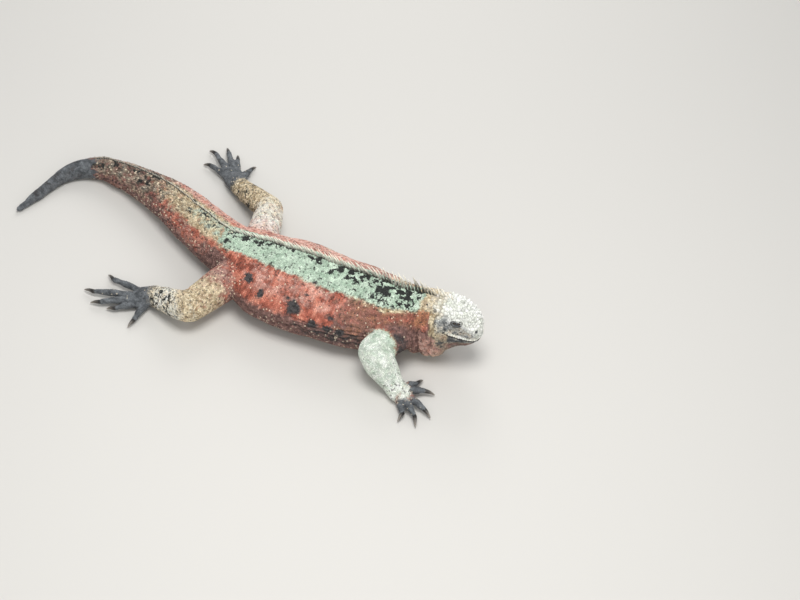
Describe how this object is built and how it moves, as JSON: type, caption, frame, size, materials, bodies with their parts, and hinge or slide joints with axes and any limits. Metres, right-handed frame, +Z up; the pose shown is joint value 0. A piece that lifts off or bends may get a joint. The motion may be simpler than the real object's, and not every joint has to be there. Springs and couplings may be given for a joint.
{
  "type": "marine iguana model",
  "caption": "Life-size still model of a resting marine iguana with spined back crest, sprawled clawed legs and a long tail curled at its end.",
  "frame": {"origin": "middle of the flat under the belly, on the floor that the model rests on", "axes": "+X along the trunk towards the head, +Y to the animal's own left, +Z up"},
  "size_m": [0.6647, 0.3713, 0.1162],
  "materials": {
    "head_skin": "pale keeled scales, matt and dry",
    "back_skin": "small beaded scales, brick red with a mint green saddle",
    "tail_skin": "keeled scales in rings, satin",
    "leg_skin": "granular scales, matt",
    "foot_skin": "slate grey scales, matt",
    "claw": "horn, satin",
    "eye": "wet and clear"
  },
  "bodies": {
    "root": {"eye_right": "eye", "eye_left": "eye", "head": "head_skin", "neck": "back_skin", "chest": "back_skin", "belly": "back_skin", "hips": "back_skin", "tail_root": "tail_skin", "tail_middle": "tail_skin", "tail_regrown": "tail_skin", "foreleg_right_upper": "leg_skin", "foreleg_right_lower": "leg_skin", "foreleg_right_claw_1": "claw", "foreleg_right_claw_2": "claw", "foreleg_right_claw_3": "claw", "foreleg_right_claw_4": "claw", "foreleg_right_claw_5": "claw", "foreleg_right_foot": "foot_skin", "foreleg_left_upper": "leg_skin", "foreleg_left_lower": "leg_skin", "foreleg_left_claw_1": "claw", "foreleg_left_claw_2": "claw", "foreleg_left_claw_3": "claw", "foreleg_left_claw_4": "claw", "foreleg_left_claw_5": "claw", "foreleg_left_foot": "foot_skin", "hindleg_right_upper": "leg_skin", "hindleg_right_lower": "leg_skin", "hindleg_right_claw_1": "claw", "hindleg_right_claw_2": "claw", "hindleg_right_claw_3": "claw", "hindleg_right_claw_4": "claw", "hindleg_right_claw_5": "claw", "hindleg_right_foot": "foot_skin", "hindleg_left_upper": "leg_skin", "hindleg_left_lower": "leg_skin", "hindleg_left_claw_1": "claw", "hindleg_left_claw_2": "claw", "hindleg_left_claw_3": "claw", "hindleg_left_claw_4": "claw", "hindleg_left_claw_5": "claw", "hindleg_left_foot": "foot_skin"}
  },
  "joints": []
}
